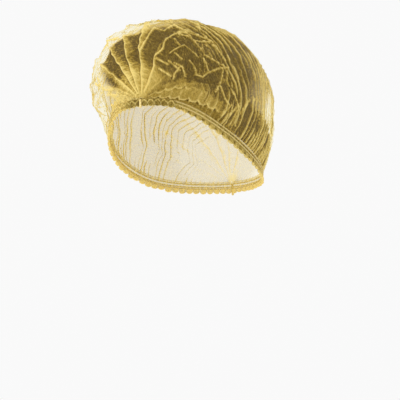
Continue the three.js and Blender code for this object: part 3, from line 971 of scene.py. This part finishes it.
def new_piece(name, points, faces):
    """A smooth mesh object from points in millimetres."""
    mesh = bpy.data.meshes.new(name)
    mesh.from_pydata((points.reshape(-1, 3) * MM).tolist(), [], faces)
    mesh.polygons.foreach_set("use_smooth", [True] * len(mesh.polygons))
    return placed(name, mesh)


def grid_object(name, points, marks, places, loop=False):
    """A sheet from a grid of points, with its marks and its places on the cloth."""
    shape = points.shape[:2]
    index = np.arange(shape[0] * shape[1]).reshape(shape)
    if loop:
        index = np.concatenate([index, index[:1]], axis=0)
    piece = new_piece(name, points, quads(index))
    mesh = piece.data
    for mark, values in marks.items():
        layer = mesh.attributes.new(mark, "FLOAT", "POINT")
        layer.data.foreach_set("value", np.broadcast_to(values, shape).reshape(-1).astype(np.float32))
    layer = mesh.uv_layers.new(name="cloth")
    flat = np.stack([np.broadcast_to(place, shape).reshape(-1) for place in places], -1) * 0.01
    corners = np.array([corner.vertex_index for corner in mesh.loops])
    layer.data.foreach_set("uv", flat[corners].reshape(-1).astype(np.float32))
    return piece


def tab_object(name, angle):
    """One fused tab, closed at both ends."""
    points = tab_points(angle)
    index = np.arange(TAB_ROWS * TAB_SIDES).reshape(TAB_ROWS, TAB_SIDES)
    faces = quads(np.concatenate([index, index[:, :1]], axis=1))
    return new_piece(name, points, faces + [index[0, ::-1].tolist(), index[-1].tolist()])


# Materials

PALE = (0.88, 0.71, 0.25)

# Each cloth's pale, middle and deep colour, and how much of what is behind it one ply hides
CLOTHS = {
    "sheer_cloth": (PALE, (0.44, 0.3, 0.05), (0.095, 0.058, 0.008), 0.97),
    "hem_cloth": (PALE, (0.45, 0.33, 0.07), (0.2, 0.13, 0.02), 0.96),
    "frill_cloth": (PALE, (0.45, 0.33, 0.07), (0.16, 0.1, 0.015), 0.97),
    "elastic": ((0.86, 0.73, 0.32), (0.6, 0.46, 0.14), (0.35, 0.25, 0.06), 0.95),
}
MIDDLE_AT = 0.38
CLEAR_TINT = (0.99, 0.97, 0.88, 1)
CLOSE_AT = 0.8  # so many plies hide all that is behind them
SHEER_HIDES_LESS = -0.85
SHEER_LIGHTER = 0.95
SPECKLE_LIGHTER = 1.6
ALL_DARKER = -0.8
SHINES_THROUGH = 0.35

# The web's clouds, speckle, fibres and bond points, by 100 mm of cloth
CLOUDS = {"Scale": 14.0, "Detail": 4.0, "Roughness": 0.6}
SPECKLE = {"Scale": 62.0, "Detail": 3.0, "Roughness": 0.75}
FIBRES = {"Scale": 1.0, "Detail": 5.0, "Distortion": 1.6}
STRETCH = {"Scale": (45.0, 120.0, 1.0), "Rotation": (0.0, 0.0, 0.35)}
BONDS = {"Scale": 85.0, "Randomness": 0.35}
BOND_RADII = (0.12, 0.34)
BOND_SINK = -0.35
WEB_PLIES = (0.34, 0.3, 0.3)  # how many plies more or less clouds, speckle and fibres look
CLOTH_BUMP = {"Strength": 0.28, "Distance": 0.0004}
CLOTH_ROUGH = (0.5, 0.78)
CLOTH_SHINE = {"Specular IOR Level": 0.1, "Sheen Weight": 0.03, "Sheen Roughness": 0.5}

FUSED_GRAIN = {"Scale": 900.0, "Detail": 4.0}
FUSED_STOPS = ((0.3, (0.62, 0.44, 0.1)), (0.7, (0.86, 0.7, 0.3)))
FUSED_BUMP = {"Strength": 0.3, "Distance": 0.0003}
FUSED_ROUGH = (0.28, 0.5)


def add_node(tree, kind, links=(), **values):
    """A new node: values are its properties, or its sockets where the name is one."""
    node = tree.nodes.new("ShaderNode" + kind)
    for name, value in values.items():
        title = name.replace("_", " ")
        if title in node.inputs:
            node.inputs[title].default_value = value
        else:
            setattr(node, name, value)
    for socket, source in links:
        tree.links.new(source, node.inputs[socket])
    return node


def times_plus(tree, source, much, more):
    """A source times a number, plus a number or another source."""
    node = add_node(tree, "Math", [(0, source)], operation="MULTIPLY_ADD")
    node.inputs[1].default_value = much
    if isinstance(more, float):
        node.inputs[2].default_value = more
    else:
        tree.links.new(more, node.inputs[2])
    return node.outputs[0]


def ranged(tree, source, end, start=(0.0, 1.0), links=()):
    """A source carried from one range of numbers to another."""
    limits = {"From Min": start[0], "From Max": start[1], "To Min": end[0], "To Max": end[1]}
    return add_node(tree, "MapRange", [("Value", source), *links], **limits).outputs[0]


def color_ramp(tree, source, stops):
    """Colours by a source: stops are places and colours, the first and the last among them."""
    ramp = add_node(tree, "ValToRGB", [("Fac", source)])
    elements = ramp.color_ramp.elements
    for element, (place, color) in zip((elements[0], elements[1]), (stops[0], stops[-1])):
        element.position = place
        element.color = (*color, 1)
    for place, color in stops[1:-1]:
        elements.new(place).color = (*color, 1)
    return ramp.outputs["Color"]


def new_material(name):
    """An empty material and its node tree."""
    material = bpy.data.materials.new(name)
    material.use_nodes = True
    material.node_tree.nodes.clear()
    return material, material.node_tree


def coated(tree, color, rough, bump, **values):
    """The shader of a surface that throws light back."""
    links = [("Base Color", color), ("Roughness", rough), ("Normal", bump)]
    return add_node(tree, "BsdfPrincipled", links, **values).outputs[0]


def web_texture(tree, place):
    """Uneven web: slow clouds, a fine speckle and short fibres that lie mostly one way."""
    clouds = add_node(tree, "TexNoise", [("Vector", place)], **CLOUDS)
    speckle = add_node(tree, "TexNoise", [("Vector", place)], **SPECKLE)
    stretched = add_node(tree, "Mapping", [("Vector", place)], **STRETCH).outputs[0]
    fibres = add_node(tree, "TexNoise", [("Vector", stretched)], **FIBRES)
    return clouds.outputs["Fac"], speckle.outputs["Fac"], fibres.outputs["Fac"]


def cloth_bump(tree, place, fibres):
    """Fine relief of fibres and of bond points, which are pressed in."""
    bonds = add_node(tree, "TexVoronoi", [("Vector", place)], **BONDS)
    bond = ranged(tree, bonds.outputs["Distance"], (1.0, 0.0), BOND_RADII)
    relief = times_plus(tree, bond, BOND_SINK, fibres)
    return add_node(tree, "Bump", [("Height", relief)], **CLOTH_BUMP).outputs[0]


def cloth_material(name, pale, middle, deep, hides):
    """Sheer non-woven cloth. Where plies lie on each other it is paler and closer, and where painted
    shade lowers the plies mark it is darker and more sheer.
    """
    material, tree = new_material(name)
    place = add_node(tree, "UVMap", uv_map="cloth").outputs["UV"]
    plies_and_shade = add_node(tree, "Attribute", attribute_name="plies_and_shade").outputs["Fac"]
    sheer = add_node(tree, "Attribute", attribute_name="sheer").outputs["Fac"]
    clouds, speckle, fibres = web_texture(tree, place)

    dense_and_shade = plies_and_shade
    for source, much in zip((clouds, speckle, fibres), WEB_PLIES):
        shift = times_plus(tree, source, much, -0.5 * much)
        dense_and_shade = add_node(tree, "Math", [(0, dense_and_shade), (1, shift)], operation="ADD").outputs[0]
    light = times_plus(tree, sheer, SHEER_LIGHTER, times_plus(tree, speckle, SPECKLE_LIGHTER, dense_and_shade))
    light = times_plus(tree, light, 1.0, ALL_DARKER)
    color = color_ramp(tree, light, ((0.0, deep), (MIDDLE_AT, middle), (1.0, pale)))
    least = times_plus(tree, sheer, SHEER_HIDES_LESS, hides)
    cover = ranged(tree, dense_and_shade, (hides, 1.0), (0.0, CLOSE_AT), [("To Min", least)])

    bump = cloth_bump(tree, place, fibres)
    front = coated(tree, color, ranged(tree, clouds, CLOTH_ROUGH), bump, **CLOTH_SHINE)
    back = add_node(tree, "BsdfTranslucent", [("Color", color), ("Normal", bump)]).outputs[0]
    cloth = add_node(tree, "MixShader", [(1, front), (2, back)], Fac=SHINES_THROUGH)
    clear = add_node(tree, "BsdfTransparent", Color=CLEAR_TINT)
    parts = [(0, cover), (1, clear.outputs[0]), (2, cloth.outputs[0])]
    surface = add_node(tree, "MixShader", parts).outputs[0]
    add_node(tree, "OutputMaterial", [("Surface", surface)])
    return material


def fused_material():
    """Cloth fused into a glossy film with a fine grain."""
    material, tree = new_material("fused_cloth")
    place = add_node(tree, "TexCoord").outputs["Object"]
    grain = add_node(tree, "TexNoise", [("Vector", place)], **FUSED_GRAIN).outputs["Fac"]
    color = color_ramp(tree, grain, FUSED_STOPS)
    bump = add_node(tree, "Bump", [("Height", grain)], **FUSED_BUMP).outputs[0]
    surface = coated(tree, color, ranged(tree, grain, FUSED_ROUGH), bump)
    add_node(tree, "OutputMaterial", [("Surface", surface)])
    return material


def floor_material():
    material = bpy.data.materials.new("pale_floor")
    material.use_nodes = True
    shader = material.node_tree.nodes["Principled BSDF"]
    shader.inputs["Base Color"].default_value = (0.86, 0.86, 0.85, 1)
    shader.inputs["Roughness"].default_value = 0.9
    return material


# Stage, in metres

TURN = math.radians(31)  # the camera stands this far round to the wearer's left
LOW = math.radians(-5)  # and looks slightly up at the cap
FAR = 3.333
LENS = 300
SENSOR = 36
AIM = Vector((0.0096, 0.0117, -0.0551))
FLOOR_LEVEL = -0.55
FLOOR_RADIUS = 6
ROOM_LIGHT = 0.95
LAMPS_AIM = Vector((0, 0, 0.04))

# Lamps: name, place, size and power in watts
LAMPS = (
    ("key", (-1.3, -1.5, 1.3), 0.9, 22),
    ("fill", (1.8, -1.0, 0.5), 1.2, 6),
    ("back", (-0.3, 1.8, 1.2), 1.0, 12),
)


def set_camera():
    camera = placed("camera", bpy.data.cameras.new("camera"))
    camera.data.lens = LENS
    camera.data.sensor_width = SENSOR
    camera.data.clip_end = 50
    way = Vector((math.sin(TURN) * math.cos(LOW), -math.cos(TURN) * math.cos(LOW), math.sin(LOW)))
    camera.location = AIM + way * FAR
    camera.rotation_euler = (-way).to_track_quat("-Z", "Y").to_euler()
    bpy.context.scene.camera = camera


def set_floor():
    place = (0, 0, FLOOR_LEVEL)
    bpy.ops.mesh.primitive_circle_add(vertices=96, radius=FLOOR_RADIUS, fill_type="NGON", location=place)
    floor = bpy.context.object
    floor.name = "floor"
    floor.data.materials.append(floor_material())


def set_lights():
    world = bpy.data.worlds.new("studio")
    world.use_nodes = True
    back = world.node_tree.nodes["Background"]
    back.inputs["Color"].default_value = (1, 1, 1, 1)
    back.inputs["Strength"].default_value = ROOM_LIGHT
    bpy.context.scene.world = world
    bpy.context.scene.view_settings.view_transform = "Standard"
    for name, place, size, power in LAMPS:
        lamp = placed(name, bpy.data.lights.new(name, "AREA"))
        lamp.data.size = size
        lamp.data.energy = power
        lamp.location = place
        lamp.rotation_euler = (LAMPS_AIM - Vector(place)).to_track_quat("-Z", "Y").to_euler()


# Making

set_camera()
set_floor()
set_lights()

looks = {name: cloth_material(name, *row) for name, row in CLOTHS.items()}
looks["fused_cloth"] = fused_material()

crown = grid_object("pleated_crown", *crown_sheet())
hem = grid_object("turned_hem", *hem_sheet(), loop=True)
frill = grid_object("scalloped_frill", *frill_sheet(), loop=True)
upper = grid_object("gathered_elastic_upper", *elastic_sheet(ELASTIC_PITCH / 2), loop=True)
lower = grid_object("gathered_elastic_lower", *elastic_sheet(-ELASTIC_PITCH / 2), loop=True)
front_tab = tab_object("front_weld_tab", 0.0)
rear_tab = tab_object("rear_weld_tab", pi)

# Each piece, the solid that it replaces, and its look
PIECES = (
    (crown, "crown", "sheer_cloth"),
    (hem, "hem_band", "hem_cloth"),
    (frill, "edge_frill", "frill_cloth"),
    (upper, "elastic_upper", "elastic"),
    (lower, "elastic_lower", "elastic"),
    (front_tab, "front_weld", "fused_cloth"),
    (rear_tab, "rear_weld", "fused_cloth"),
)
for piece, node, look in PIECES:
    piece.data.materials.append(looks[look])
    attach(piece, "root")
    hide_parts(node)
